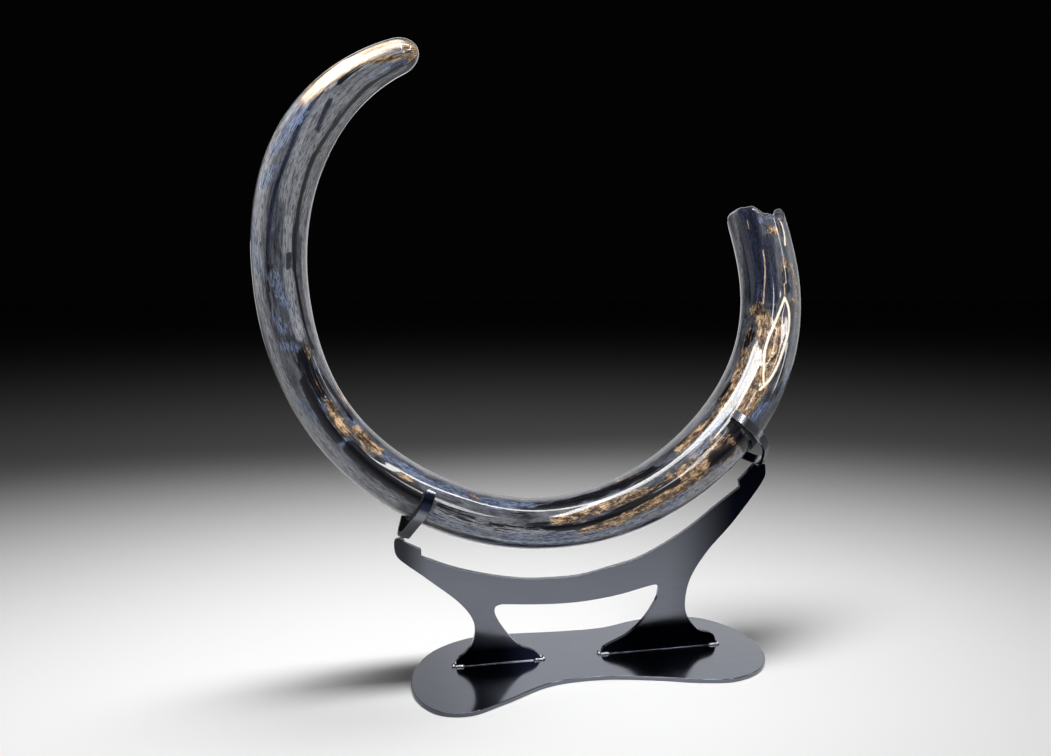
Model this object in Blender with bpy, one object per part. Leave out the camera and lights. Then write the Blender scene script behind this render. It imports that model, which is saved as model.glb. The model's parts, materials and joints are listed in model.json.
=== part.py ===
"""A polished mammoth tusk resting in two padded cradles on a cut steel stand.

Metres, +Z up. The origin is the middle of the base plate's underside and -Y is the front.
Every piece hangs under the empty stand_datum, which lies in the upright plate's middle
plane, a little above the top of the base plate. Positions below are measured from it.
"""

import math

import bmesh
import bpy
import numpy as np
from mathutils import Vector

GAP = 0.0003

# The datum in the world, and how far below it the top of the base plate lies.
DATUM_X = 0.007
DATUM_Y = 0.0135
DATUM_OVER_BASE = 0.0045

# Base plate: a lobed shape cut by hand, through these points in millimetres.
BASE_THICKNESS = 0.008
BASE_EDGE_ROUND = 0.0010
BASE_OUTLINE_MM = (
    (348, -15), (335, 52), (285, 118), (210, 142), (138, 137), (49, 113), (-57, 113),
    (-167, 120), (-245, 112), (-320, 64), (-358, -15), (-357, -95), (-320, -153), (-266, -168),
    (-200, -142), (-103, -95), (-3, -89), (91, -108), (182, -134), (245, -140), (305, -115),
    (340, -68),
)

PLATE_THICKNESS = 0.009
PLATE_EDGE_ROUND = 0.0006

# Upright plate outline in millimetres, x across and z up from the datum. Each stretch
# is one smooth edge and the stretches meet at corners. It runs anticlockwise from the
# left foot's inner end.
UPRIGHT_EDGES_MM = (
    # Left leg, inner edge, and the corner under the beam.
    ((-104, -4.5), (-117, 13), (-148, 28), (-182, 68), (-198, 101), (-196, 112), (-184, 116)),
    # Beam, lower edge.
    ((-184, 116), (-106, 110), (-29, 109), (53, 118), (118, 132), (132, 133), (137, 126)),
    # Right leg, inner edge.
    ((137, 126), (134, 108), (108, 65), (72, 33), (33, 15), (22, 8), (18, -4.5)),
    # Right foot and the outer edge of leg and horn.
    ((265, -4.5), (257, 18), (225, 30), (199, 63), (194, 92), (203, 139), (236, 193), (291, 253),
     (352, 333), (360, 350), (359, 372)),
    # Seat notch for the right cradle's pin.
    ((350.6, 374.6), (344.3, 367.9)),
    ((336.8, 374.8), (303, 341)),
    ((306, 327), (259, 293), (203, 251), (147, 217), (92, 191), (37, 177), (-29, 163.5),
     (-91, 162), (-152, 166), (-260, 191), (-338, 222)),
    # Left boss.
    ((-338, 236),),
    ((-383, 260), (-387.5, 256), (-388, 238), (-383, 224), (-330, 179), (-264, 122),
     (-242, 91), (-237, 68), (-243, 40), (-258, 21), (-271, 11), (-275, -4.5)),
)
CURVE_STEPS = 3

# Weld beads at the ends of the feet: x of each foot end and the bead's half sizes.
FOOT_ENDS_X = (-0.275, -0.104, 0.018, 0.264)
FOOT_BEAD_HALF = (0.011, 0.0095, 0.0055)
FOOT_BEAD_SIDES = 12
FOOT_BEAD_RINGS = 8

# Cradles: a flat bar bent to a U on a welded pin, in metres and degrees. x, z: the pin's
# foot. lean: the cup's axis from +X. turn: the bar about that axis. rise: how far each arm
# curls past the cup's middle. bend: middle radius of the bar's bottom. straight: length of
# the straight sides below the cup. reach: from the pin's foot to the cup's middle. cup:
# middle radius of the bar round the tusk. lift: the bar over the pin's foot. pad_gap:
# between pad and tusk.
CRADLES = {
    "left": dict(x=-0.3752, z=0.2569, lean=65.6, turn=8.6, rise=28.1, bend=0.0194,
                 straight=0.0, reach=0.0910, cup=0.0572, lift=0.0058, pad_gap=0.0007),
    "right": dict(x=0.3530, z=0.3773, lean=137.7, turn=18.8, rise=31.0, bend=0.0300,
                  straight=0.020, reach=0.1077, cup=0.0706, lift=0.0029, pad_gap=0.0015),
}
BAR_WIDTH = 0.019
BAR_THICKNESS = 0.005
BAR_CORNER = 0.004
BAR_ARC_STEPS = 8
PIN_RADIUS = 0.005
PIN_SIDES = 20
PIN_WELD_RADIUS = 0.0075
PIN_WELD_HEIGHT = 0.0022
PIN_WELD_BULGE = 0.0006
PIN_WELD_BELOW_TOP = 0.0004
PAD_WIDTH = 0.022
PAD_THICKNESS = 0.0020
PAD_SHORT_OF_ARM_DEG = 3.0
PAD_STEPS = 26

# Tusk, from the root (s = 0) to the tip, in metres and radians unless named otherwise.
TUSK_LENGTH = 2.1087
TUSK_START = (0.3768, 0.9053)
TUSK_START_HEADING_DEG = -76.74
TUSK_CURVATURE = (0.23, 2.89, 1.66, 1.81, 2.32, 1.94, 2.43, 1.74, 3.30, 3.93)
TUSK_SIDEWAYS = (0.135, 0.072, 0.004, -0.018, -0.010, 0.0, -0.014, -0.055, -0.115, -0.190)
TUSK_RADIUS = (0.0581, 0.0612, 0.0622, 0.0557, 0.0487, 0.0485, 0.0448, 0.0450, 0.0443, 0.0235)
TIP_AT = 2.106
TIP_ROUND = 0.030
TIP_POWER = 2.0
TIP_RINGS = (0.35, 0.62, 0.82, 0.94, 0.99)
AXIS_STEPS = 400
TUSK_RINGS = 74
TUSK_SIDES = 32

# Root end: height of the broken rim every 30 degrees round, and the pulp cavity in it.
RIM_DIP = (0.030, 0.027, 0.050, 0.036, 0.013, 0.008, 0.008, 0.016, 0.018, 0.013, 0.022, 0.031)
RIM_FADE = 0.16
RIM_WALL = 0.022
RIM_ROUND = 0.014
RIM_TURNS_DEG = (180, 150, 120, 90, 60, 30)
CAVITY_DEPTH = 0.24
CAVITY_RINGS = (0.93, 0.72, 0.45, 0.2)
CAVITY_TAPER_POWER = 0.75

# Long shallow flutes: angle round the tusk at their start in degrees (0 is the outside of
# the curl, 90 the front), twist per metre, depth, start and end along the tusk.
FLUTE_WIDTH_DEG = 11.0
FLUTE_FADE = 0.22
FLUTES = (
    [(angle, 14.0, 0.0018, -0.30, 0.62) for angle in (12, 54, 92, 128, 165, 203, 240, 277, 320)]
    + [(angle, -10.0, 0.0014, 1.10, 2.20) for angle in (62, 122, 200, 262, 330)]
)


def clear_scene():
    for old in list(bpy.data.objects):
        bpy.data.objects.remove(old, do_unlink=True)


def make_material(name, colour, roughness, metallic):
    material = bpy.data.materials.new(name)
    material.use_nodes = True
    shader = material.node_tree.nodes["Principled BSDF"]
    shader.inputs["Base Color"].default_value = (*colour, 1.0)
    shader.inputs["Roughness"].default_value = roughness
    shader.inputs["Metallic"].default_value = metallic
    return material


def add_object(name, bm, material, parent=None, smooth_angle_deg=30.0):
    bmesh.ops.recalc_face_normals(bm, faces=bm.faces)
    mesh = bpy.data.meshes.new(name)
    bm.to_mesh(mesh)
    bm.free()
    mesh.shade_smooth()
    mesh.set_sharp_from_angle(angle=math.radians(smooth_angle_deg))
    mesh.materials.append(material)
    obj = bpy.data.objects.new(name, mesh)
    obj.parent = parent
    bpy.context.scene.collection.objects.link(obj)
    return obj


def join_rings(bm, rings, capped=True):
    """A skin over rings that all have the same number of vertices, with flat ends if capped."""
    for near, far in zip(rings, rings[1:]):
        count = len(near)
        for i in range(count):
            j = (i + 1) % count
            bm.faces.new((near[i], near[j], far[j], far[i]))
    if capped:
        bm.faces.new(rings[0])
        bm.faces.new(rings[-1])


def add_bevel(obj, width):
    bevel = obj.modifiers.new("edge round", "BEVEL")
    bevel.width = width
    bevel.segments = 1
    bevel.limit_method = "ANGLE"
    bevel.angle_limit = math.radians(50.0)


def extrude_outline(outline, bottom, top, axis_map):
    """A closed prism on a 2-D outline, whose points axis_map puts in space."""
    bm = bmesh.new()
    low = [bm.verts.new(axis_map(u, v, bottom)) for u, v in outline]
    face = bm.faces.new(low)
    extruded = bmesh.ops.extrude_face_region(bm, geom=[face])
    shift = Vector(axis_map(0, 0, top)) - Vector(axis_map(0, 0, bottom))
    moved = [item for item in extruded["geom"] if isinstance(item, bmesh.types.BMVert)]
    bmesh.ops.translate(bm, verts=moved, vec=shift)
    return bm


def arc(centre, radius, start_deg, end_deg, steps):
    angles = np.radians(np.linspace(start_deg, end_deg, steps + 1))
    return [(centre[0] + radius * math.cos(a), centre[1] + radius * math.sin(a)) for a in angles]


def smooth_edge(keys, steps):
    """Points on a centripetal Catmull-Rom curve through the keys."""
    keys = [np.array(key, dtype=float) for key in keys]
    if len(keys) < 3:
        return [tuple(key) for key in keys]
    ends = [2 * keys[0] - keys[1]] + keys + [2 * keys[-1] - keys[-2]]
    points = []
    for p0, p1, p2, p3 in zip(ends, ends[1:], ends[2:], ends[3:]):
        t1 = np.linalg.norm(p1 - p0) ** 0.5
        t2 = t1 + np.linalg.norm(p2 - p1) ** 0.5
        t3 = t2 + np.linalg.norm(p3 - p2) ** 0.5
        for t in np.linspace(t1, t2, steps, endpoint=False):
            a1 = p0 + (p1 - p0) * t / t1
            a2 = p1 + (p2 - p1) * (t - t1) / (t2 - t1)
            a3 = p2 + (p3 - p2) * (t - t2) / (t3 - t2)
            b1 = a1 + (a2 - a1) * t / t2
            b2 = a2 + (a3 - a2) * (t - t1) / (t3 - t1)
            points.append(tuple(b1 + (b2 - b1) * (t - t1) / (t2 - t1)))
    points.append(tuple(keys[-1]))
    return points


def drop_repeats(points, closest):
    kept = []
    for point in points:
        if not kept or math.dist(kept[-1], point) > closest:
            kept.append(point)
    if math.dist(kept[0], kept[-1]) <= closest:
        kept.pop()
    return kept


def make_base_plate(material, parent):
    keys = [np.array(key) / 1000 for key in BASE_OUTLINE_MM]
    loop = smooth_edge([keys[-1]] + keys + keys[:2], CURVE_STEPS)
    outline = loop[CURVE_STEPS:-1 - CURVE_STEPS]
    top = -DATUM_OVER_BASE

    def place(u, v, height):
        return (u, v, height)

    bm = extrude_outline(outline, top - BASE_THICKNESS, top, place)
    add_bevel(add_object("base_plate", bm, material, parent), BASE_EDGE_ROUND)


def make_foot_beads(material, parent):
    """Low domes of weld metal round the ends of both feet, which the upright is joined to."""
    bm = bmesh.new()
    for x in FOOT_ENDS_X:
        made = bmesh.ops.create_uvsphere(bm, u_segments=FOOT_BEAD_SIDES,
                                         v_segments=FOOT_BEAD_RINGS, radius=1.0)
        bmesh.ops.scale(bm, verts=made["verts"], vec=FOOT_BEAD_HALF)
        bmesh.ops.translate(bm, verts=made["verts"], vec=(x, 0.0, -DATUM_OVER_BASE))
    everything = bm.verts[:] + bm.edges[:] + bm.faces[:]
    just_over_base = (0, 0, 2 * GAP - DATUM_OVER_BASE)
    bmesh.ops.bisect_plane(bm, geom=everything, plane_co=just_over_base, plane_no=(0, 0, 1),
                           clear_inner=True)
    bmesh.ops.holes_fill(bm, edges=bm.edges[:])
    beads = add_object("foot_beads", bm, material, parent)
    beads.hide_render = True
    beads.display_type = "WIRE"
    return beads


def make_upright_plate(material, parent):
    outline = []
    for stretch in UPRIGHT_EDGES_MM:
        outline += smooth_edge(stretch, CURVE_STEPS)
    outline = drop_repeats([(x / 1000, z / 1000) for x, z in outline], 0.0004)
    outline = [(x, max(z, GAP - DATUM_OVER_BASE)) for x, z in outline]

    def place(u, v, depth):
        return (u, depth, v)

    bm = extrude_outline(outline, -PLATE_THICKNESS / 2, PLATE_THICKNESS / 2, place)
    plate = add_object("upright_plate", bm, material, parent)
    add_bevel(plate, PLATE_EDGE_ROUND)
    union = plate.modifiers.new("foot welds", "BOOLEAN")
    union.operation = "UNION"
    union.solver = "EXACT"
    union.object = make_foot_beads(material, parent)


def key_curve(keys, position):
    """Catmull-Rom through evenly spaced keys, read at position from 0 to 1."""
    keys = np.asarray(keys)
    count = len(keys) - 1
    scaled = np.clip(position, 0, 1) * count
    k = np.minimum(scaled.astype(int), count - 1)
    f = scaled - k
    ends = np.r_[2 * keys[0] - keys[1], keys, 2 * keys[-1] - keys[-2]]
    p0, p1, p2, p3 = ends[k], ends[k + 1], ends[k + 2], ends[k + 3]
    return 0.5 * (2 * p1 + (p2 - p0) * f + (2 * p0 - 5 * p1 + 4 * p2 - p3) * f**2
                  + (3 * p1 - p0 - 3 * p2 + p3) * f**3)


class TuskAxis:
    """The curl's centre line, its outward and front directions, and its radius."""

    def __init__(self):
        self.s = np.linspace(0, TUSK_LENGTH, AXIS_STEPS + 1)
        step = np.diff(self.s)
        curvature = key_curve(TUSK_CURVATURE, self.s / TUSK_LENGTH)
        turned = np.r_[0, np.cumsum((curvature[1:] + curvature[:-1]) / 2 * step)]
        heading = math.radians(TUSK_START_HEADING_DEG) - turned
        middle = (heading[1:] + heading[:-1]) / 2
        x = TUSK_START[0] + np.r_[0, np.cumsum(np.cos(middle) * step)]
        z = TUSK_START[1] + np.r_[0, np.cumsum(np.sin(middle) * step)]
        y = key_curve(TUSK_SIDEWAYS, self.s / TUSK_LENGTH)
        self.centre = np.c_[x, y, z]
        tangent = np.gradient(self.centre, axis=0)
        tangent /= np.linalg.norm(tangent, axis=1)[:, None]
        self.outward = np.c_[-np.sin(heading), np.zeros_like(x), np.cos(heading)]
        self.front = np.cross(self.outward, tangent)
        self.front /= np.linalg.norm(self.front, axis=1)[:, None]
        if self.front[0, 1] > 0:
            self.front = -self.front

    def read(self, table, s):
        return np.stack([np.interp(s, self.s, table[:, i]) for i in range(3)], axis=-1)

    def radius(self, s):
        plain = key_curve(TUSK_RADIUS, s / TUSK_LENGTH)
        into_tip = np.clip((s - TIP_AT + TIP_ROUND) / TIP_ROUND, 0, 1)
        return plain * np.sqrt(np.maximum(1 - into_tip**TIP_POWER, 1e-6))

    def point(self, s, angle, radius):
        side = np.cos(angle)[:, None] * self.read(self.outward, s)
        side = side + np.sin(angle)[:, None] * self.read(self.front, s)
        return self.read(self.centre, s) + radius[:, None] * side


def flute_depth(s, angle):
    depth = np.zeros_like(s)
    for start_deg, twist_deg, most, begin, end in FLUTES:
        middle = np.radians(start_deg + twist_deg * (s - max(begin, 0.0)))
        off = np.angle(np.exp(1j * (angle - middle))) / math.radians(FLUTE_WIDTH_DEG)
        fade = np.clip((s - begin) / FLUTE_FADE, 0, 1) * np.clip((end - s) / FLUTE_FADE, 0, 1)
        depth += most * fade * np.exp(-(off**2))
    return depth


def rim_dip(angle):
    degrees = np.degrees(angle) % 360
    keys = np.array(RIM_DIP + RIM_DIP[:1])
    step = 360 / len(RIM_DIP)
    k = (degrees / step).astype(int)
    f = degrees / step - k
    ease = f * f * (3 - 2 * f)
    return keys[k] * (1 - ease) + keys[k + 1] * ease


def tusk_rings(axis):
    """Rings of points from the bottom of the pulp cavity, over the rim, to the tip."""
    angle = np.linspace(0, 2 * math.pi, TUSK_SIDES, endpoint=False)
    flat = np.ones_like(angle)
    dip = rim_dip(angle)
    rings = []
    mouth = axis.radius(flat * RIM_ROUND) - RIM_WALL
    for part in CAVITY_RINGS:
        depth = RIM_ROUND + part * (CAVITY_DEPTH - RIM_ROUND)
        s = depth + dip * max(0.0, 1 - depth / RIM_FADE)
        rings.append(axis.point(s, angle, mouth * (1 - part) ** CAVITY_TAPER_POWER))
    for turn_deg in RIM_TURNS_DEG:
        turn = math.radians(turn_deg)
        s = dip + RIM_ROUND * (1 - math.sin(turn))
        inward = RIM_WALL / 2 * (1 - math.cos(turn))
        radius = axis.radius(s) - flute_depth(s, angle) - inward
        rings.append(axis.point(s, angle, radius))
    shaft = np.linspace(RIM_ROUND, TIP_AT - TIP_ROUND, TUSK_RINGS)
    tip = TIP_AT - TIP_ROUND * (1 - np.array(TIP_RINGS))
    for distance in np.r_[shaft, tip]:
        s = distance + dip * max(0.0, 1 - distance / RIM_FADE)
        rings.append(axis.point(s, angle, axis.radius(s) - flute_depth(s, angle)))
    return rings


def make_tusk(material, parent):
    axis = TuskAxis()
    bm = bmesh.new()
    rings = [[bm.verts.new(point) for point in ring] for ring in tusk_rings(axis)]
    join_rings(bm, rings, capped=False)
    bottom = bm.verts.new(axis.read(axis.centre, np.array([CAVITY_DEPTH]))[0])
    tip = bm.verts.new(axis.read(axis.centre, np.array([TIP_AT]))[0])
    for pole, ring in ((bottom, rings[0]), (tip, rings[-1])):
        for i in range(TUSK_SIDES):
            bm.faces.new((pole, ring[i], ring[(i + 1) % TUSK_SIDES]))
    add_object("tusk", bm, material, parent, smooth_angle_deg=60.0)
    return axis


class CradleFrame:
    """One cradle's directions: up its cup's axis, out to the front arm, along the bar's width."""

    def __init__(self, lean, turn, x, z):
        lean = math.radians(lean)
        turn = math.radians(turn)
        self.foot = np.array((x, 0.0, z))
        self.up = np.array((math.cos(lean), 0.0, math.sin(lean)))
        flat = np.array((self.up[2], 0.0, -self.up[0]))
        front = np.array((0.0, -1.0, 0.0))
        self.arm = front * math.cos(turn) + flat * math.sin(turn)
        self.width = flat * math.cos(turn) - front * math.sin(turn)

    def point(self, out, rise, along):
        return self.foot + out * self.arm + rise * self.up + along * self.width


def bar_profile(c, off):
    """Half of the bent bar, from its lowest point to the end of one arm, off from its middle."""
    low = c["lift"] + BAR_THICKNESS / 2 + c["bend"]
    cup = c["reach"] - c["straight"]
    slope = math.degrees(math.asin((c["cup"] - c["bend"]) / (cup - low)))
    points = arc((0, low), c["bend"] - off, -90, -slope, BAR_ARC_STEPS)
    points += arc((0, cup), c["cup"] - off, -slope, 0, BAR_ARC_STEPS)
    points += arc((0, c["reach"]), c["cup"] - off, 0, c["rise"], BAR_ARC_STEPS)
    return drop_repeats(points, 0.0002)


def make_cradle(side, c, material, parent):
    frame = CradleFrame(c["lean"], c["turn"], c["x"], c["z"])
    inner = bar_profile(c, BAR_THICKNESS / 2)
    outer = bar_profile(c, -BAR_THICKNESS / 2)
    half = list(zip(inner, outer))
    to_end = [math.dist(inner[i], inner[-1]) for i in range(len(inner))]
    rounds = [BAR_CORNER - min(d, BAR_CORNER) for d in to_end]
    trims = [BAR_CORNER - math.sqrt(BAR_CORNER**2 - r * r) for r in rounds]
    stations = [(pair, trim, -1) for pair, trim in zip(half[:0:-1], trims[:0:-1])]
    stations += [(pair, trim, 1) for pair, trim in zip(half, trims)]
    bm = bmesh.new()
    rings = []
    for (near, far), trim, way in stations:
        w = BAR_WIDTH / 2 - trim
        corners = ((near, -w), (near, w), (far, w), (far, -w))
        rings.append([bm.verts.new(frame.point(way * p[0], p[1], t)) for p, t in corners])
    join_rings(bm, rings)
    add_object("cradle_" + side, bm, material, parent)


def make_pin(side, c, material, parent):
    """A short round pin with a fillet of weld round its foot, turned about the cup's axis."""
    frame = CradleFrame(c["lean"], c["turn"], c["x"], c["z"])
    top = c["lift"] - GAP
    weld_top = min(PIN_WELD_HEIGHT, top - PIN_WELD_BELOW_TOP)
    weld_middle = (GAP + weld_top) / 2
    profile = ((PIN_WELD_RADIUS, GAP), (PIN_WELD_RADIUS - PIN_WELD_BULGE, weld_middle),
               (PIN_RADIUS, weld_top), (PIN_RADIUS, top))
    turns = np.linspace(0, 2 * math.pi, PIN_SIDES, endpoint=False)
    bm = bmesh.new()
    rings = []
    for radius, height in profile:
        rings.append([bm.verts.new(frame.point(radius * math.cos(a), height, radius * math.sin(a)))
                      for a in turns])
    join_rings(bm, rings)
    add_object("pin_" + side, bm, material, parent)


def tusk_in_cup(axis, frame, c):
    """Where the tusk's axis runs in a cradle's frame, by distance along the bar's width."""
    local = axis.centre - frame.foot
    along = local @ frame.width
    near = np.abs(local @ frame.up - c["reach"]) < c["cup"] / 2
    order = np.argsort(along[near])
    along = along[near][order]
    out = (local @ frame.arm)[near][order]
    rise = (local @ frame.up)[near][order]
    s = axis.s[near][order]
    return lambda t: (np.interp(t, along, out), np.interp(t, along, rise), np.interp(t, along, s))


def make_pad(side, c, material, parent, axis):
    """A liner that follows the tusk's surface inside the bar, from arm end to arm end."""
    frame = CradleFrame(c["lean"], c["turn"], c["x"], c["z"])
    tusk_at = tusk_in_cup(axis, frame, c)
    tilt = abs(tusk_at(PAD_WIDTH / 2)[2] - tusk_at(-PAD_WIDTH / 2)[2]) / PAD_WIDTH
    most = math.radians(90 + c["rise"] - PAD_SHORT_OF_ARM_DEG)
    bm = bmesh.new()
    rings = []
    for swing in np.linspace(-most, most, PAD_STEPS + 1):
        direction = np.array((math.sin(swing), -math.cos(swing)))
        inner = []
        for along in (-PAD_WIDTH / 2, 0.0, PAD_WIDTH / 2):
            out, rise, s = tusk_at(along)
            middle = np.array((out, rise - c["reach"]))
            reach = float(axis.radius(np.array([s]))[0]) * tilt + c["pad_gap"]
            ahead = float(middle @ direction)
            inner.append((ahead + math.sqrt(reach**2 - float(middle @ middle) + ahead**2), along))
        outer = [(radius + PAD_THICKNESS, along) for radius, along in inner[::-1]]
        ring = [frame.point(radius * direction[0], c["reach"] + radius * direction[1], along)
                for radius, along in inner + outer]
        rings.append([bm.verts.new(point) for point in ring])
    join_rings(bm, rings)
    add_object("pad_" + side, bm, material, parent)


def make_all():
    clear_scene()
    steel = make_material("blackened steel plate", (0.045, 0.050, 0.065), 0.42, 0.85)
    bar = make_material("satin steel bar", (0.16, 0.17, 0.19), 0.35, 0.9)
    weld = make_material("bare weld and pin", (0.30, 0.32, 0.35), 0.35, 1.0)
    liner = make_material("black liner", (0.012, 0.012, 0.014), 0.8, 0.0)
    ivory = make_material("polished mammoth ivory", (0.34, 0.33, 0.32), 0.16, 0.0)
    datum = bpy.data.objects.new("stand_datum", None)
    datum.location = (DATUM_X, DATUM_Y, BASE_THICKNESS + DATUM_OVER_BASE)
    bpy.context.scene.collection.objects.link(datum)
    make_base_plate(steel, datum)
    make_upright_plate(steel, datum)
    axis = make_tusk(ivory, datum)
    for side, cradle in CRADLES.items():
        make_pin(side, cradle, weld, datum)
        make_cradle(side, cradle, bar, datum)
        make_pad(side, cradle, liner, datum, axis)


make_all()
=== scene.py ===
"""The looks of the mammoth tusk and its stand: fine meshes, procedural materials, floor,
studio light and camera. Metres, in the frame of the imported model."""

import json
import math

import bmesh
import bpy
import numpy as np
from mathutils import Matrix, Vector

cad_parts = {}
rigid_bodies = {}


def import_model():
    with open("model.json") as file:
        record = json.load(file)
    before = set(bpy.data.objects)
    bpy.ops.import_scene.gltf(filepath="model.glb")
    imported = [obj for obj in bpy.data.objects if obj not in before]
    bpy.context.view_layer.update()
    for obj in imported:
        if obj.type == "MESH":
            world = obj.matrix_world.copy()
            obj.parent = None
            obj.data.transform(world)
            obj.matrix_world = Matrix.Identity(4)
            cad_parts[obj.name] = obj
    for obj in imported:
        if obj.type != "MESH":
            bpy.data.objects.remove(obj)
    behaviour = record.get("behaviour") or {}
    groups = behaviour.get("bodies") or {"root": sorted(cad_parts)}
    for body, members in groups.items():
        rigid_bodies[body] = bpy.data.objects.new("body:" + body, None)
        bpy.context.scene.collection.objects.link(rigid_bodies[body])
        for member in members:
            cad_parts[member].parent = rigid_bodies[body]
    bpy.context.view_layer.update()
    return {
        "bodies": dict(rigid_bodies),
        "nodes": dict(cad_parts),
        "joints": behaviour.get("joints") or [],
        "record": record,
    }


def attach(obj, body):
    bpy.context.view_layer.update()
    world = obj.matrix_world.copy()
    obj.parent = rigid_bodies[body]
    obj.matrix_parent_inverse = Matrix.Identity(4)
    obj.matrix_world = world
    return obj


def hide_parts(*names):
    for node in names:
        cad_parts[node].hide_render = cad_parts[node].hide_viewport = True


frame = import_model()

# Places shared with the construction: the stand's datum in the world and what hangs on it.
DATUM = np.array((0.007, 0.0135, 0.0125))
DATUM_OVER_BASE = 0.0045
GAP = 0.0003

BASE_THICKNESS = 0.008
BASE_OUTLINE_MM = (
    (348, -15), (335, 52), (285, 118), (210, 142), (138, 137), (49, 113), (-57, 113),
    (-167, 120), (-245, 112), (-320, 64), (-358, -15), (-357, -95), (-320, -153), (-266, -168),
    (-200, -142), (-103, -95), (-3, -89), (91, -108), (182, -134), (245, -140), (305, -115),
    (340, -68),
)

PLATE_THICKNESS = 0.009
UPRIGHT_EDGES_MM = (
    ((-104, -4.5), (-117, 13), (-148, 28), (-182, 68), (-198, 101), (-196, 112), (-184, 116)),
    ((-184, 116), (-106, 110), (-29, 109), (53, 118), (118, 132), (132, 133), (137, 126)),
    ((137, 126), (134, 108), (108, 65), (72, 33), (33, 15), (22, 8), (18, -4.5)),
    ((265, -4.5), (257, 18), (225, 30), (199, 63), (194, 92), (203, 139), (236, 193), (291, 253),
     (352, 333), (360, 350), (359, 372)),
    ((350.6, 374.6), (344.3, 367.9)),
    ((336.8, 374.8), (303, 341)),
    ((306, 327), (259, 293), (203, 251), (147, 217), (92, 191), (37, 177), (-29, 163.5),
     (-91, 162), (-152, 166), (-260, 191), (-338, 222)),
    ((-338, 236),),
    ((-383, 260), (-387.5, 256), (-388, 238), (-383, 224), (-330, 179), (-264, 122),
     (-242, 91), (-237, 68), (-243, 40), (-258, 21), (-271, 11), (-275, -4.5)),
)
FOOT_ENDS_X = (-0.275, -0.104, 0.018, 0.264)
FOOT_WELD_PAST_END = 0.004
FOOT_WELD_ALONG = 0.017
FOOT_WELD_OFF_FACE = 0.0012
FOOT_WELD_ROUND_CORNER = 0.002
FOOT_WELD_RIPPLE = 0.10

CRADLES = {
    "left": dict(x=-0.3752, z=0.2569, lean=65.6, turn=8.6, rise=28.1, bend=0.0194,
                 straight=0.0, reach=0.0910, cup=0.0572, lift=0.0058, pad_gap=0.0007),
    "right": dict(x=0.3530, z=0.3773, lean=137.7, turn=18.8, rise=31.0, bend=0.0300,
                  straight=0.020, reach=0.1077, cup=0.0706, lift=0.0029, pad_gap=0.0015),
}
BAR_WIDTH = 0.019
BAR_THICKNESS = 0.005
BAR_CORNER = 0.004
PIN_RADIUS = 0.005
PIN_WELD_RADIUS = 0.0075
PIN_WELD_HEIGHT = 0.0022
PAD_WIDTH = 0.022
PAD_THICKNESS = 0.0020
PAD_SHORT_OF_ARM_DEG = 3.0

TUSK_LENGTH = 2.1087
TUSK_START = (0.3768, 0.9053)
TUSK_START_HEADING_DEG = -76.74
TUSK_CURVATURE = (0.23, 2.89, 1.66, 1.81, 2.32, 1.94, 2.43, 1.74, 3.30, 3.93)
TUSK_SIDEWAYS = (0.135, 0.072, 0.004, -0.018, -0.010, 0.0, -0.014, -0.055, -0.115, -0.190)
TUSK_RADIUS = (0.0581, 0.0612, 0.0622, 0.0557, 0.0487, 0.0485, 0.0448, 0.0450, 0.0443, 0.0235)
TIP_AT = 2.106
TIP_ROUND = 0.030
TIP_POWER = 2.0
AXIS_STEPS = 400
TUSK_RINGS = 500
ROOT_RINGS = 300
ROOT_LENGTH = 0.72
TUSK_SIDES = 180
MEAN_RADIUS = 0.05
# Where the painted dark reflection lies along each cradle's arms, from the bar's lowest point to the
# arm's end.
PAINTED_DARK_REFLECTION_SPAN = {"left": (0.45, 0.90), "right": (0.10, 0.50)}
RIDGE_HEIGHT = 0.0007
RIM_DIP = (0.030, 0.027, 0.050, 0.036, 0.013, 0.008, 0.008, 0.016, 0.018, 0.013, 0.022, 0.031)
RIM_FADE = 0.16
RIM_WALL = 0.022
RIM_ROUND = 0.014
CAVITY_DEPTH = 0.24
FLUTE_WIDTH_DEG = 11.0
FLUTE_FADE = 0.22
FLUTES = (
    [(angle, 14.0, 0.0018, -0.30, 0.62) for angle in (12, 54, 92, 128, 165, 203, 240, 277, 320)]
    + [(angle, -10.0, 0.0014, 1.10, 2.20) for angle in (62, 122, 200, 262, 330)]
)

EDGE_ROUND = 0.0010
EDGE_SEGMENTS = 3
CURVE_STEPS = 12


# ---------------------------------------------------------------- shapes

def new_piece(name, bm, replaced, smooth_angle_deg=35.0):
    """Turns a bmesh in datum coordinates into a piece that stands for a CAD node."""
    bmesh.ops.recalc_face_normals(bm, faces=bm.faces)
    bmesh.ops.translate(bm, verts=bm.verts, vec=Vector(DATUM))
    mesh = bpy.data.meshes.new(name)
    bm.to_mesh(mesh)
    bm.free()
    mesh.shade_smooth()
    mesh.set_sharp_from_angle(angle=math.radians(smooth_angle_deg))
    obj = bpy.data.objects.new(name, mesh)
    bpy.context.scene.collection.objects.link(obj)
    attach(obj, "root")
    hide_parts(replaced)
    return obj


def round_edges(obj, width, segments):
    bevel = obj.modifiers.new("edge round", "BEVEL")
    bevel.width = width
    bevel.segments = segments
    bevel.limit_method = "ANGLE"
    bevel.angle_limit = math.radians(50.0)
    bevel.harden_normals = False


def arc(centre, radius, start_deg, end_deg, steps):
    angles = np.radians(np.linspace(start_deg, end_deg, steps + 1))
    return [(centre[0] + radius * math.cos(a), centre[1] + radius * math.sin(a)) for a in angles]


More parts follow.
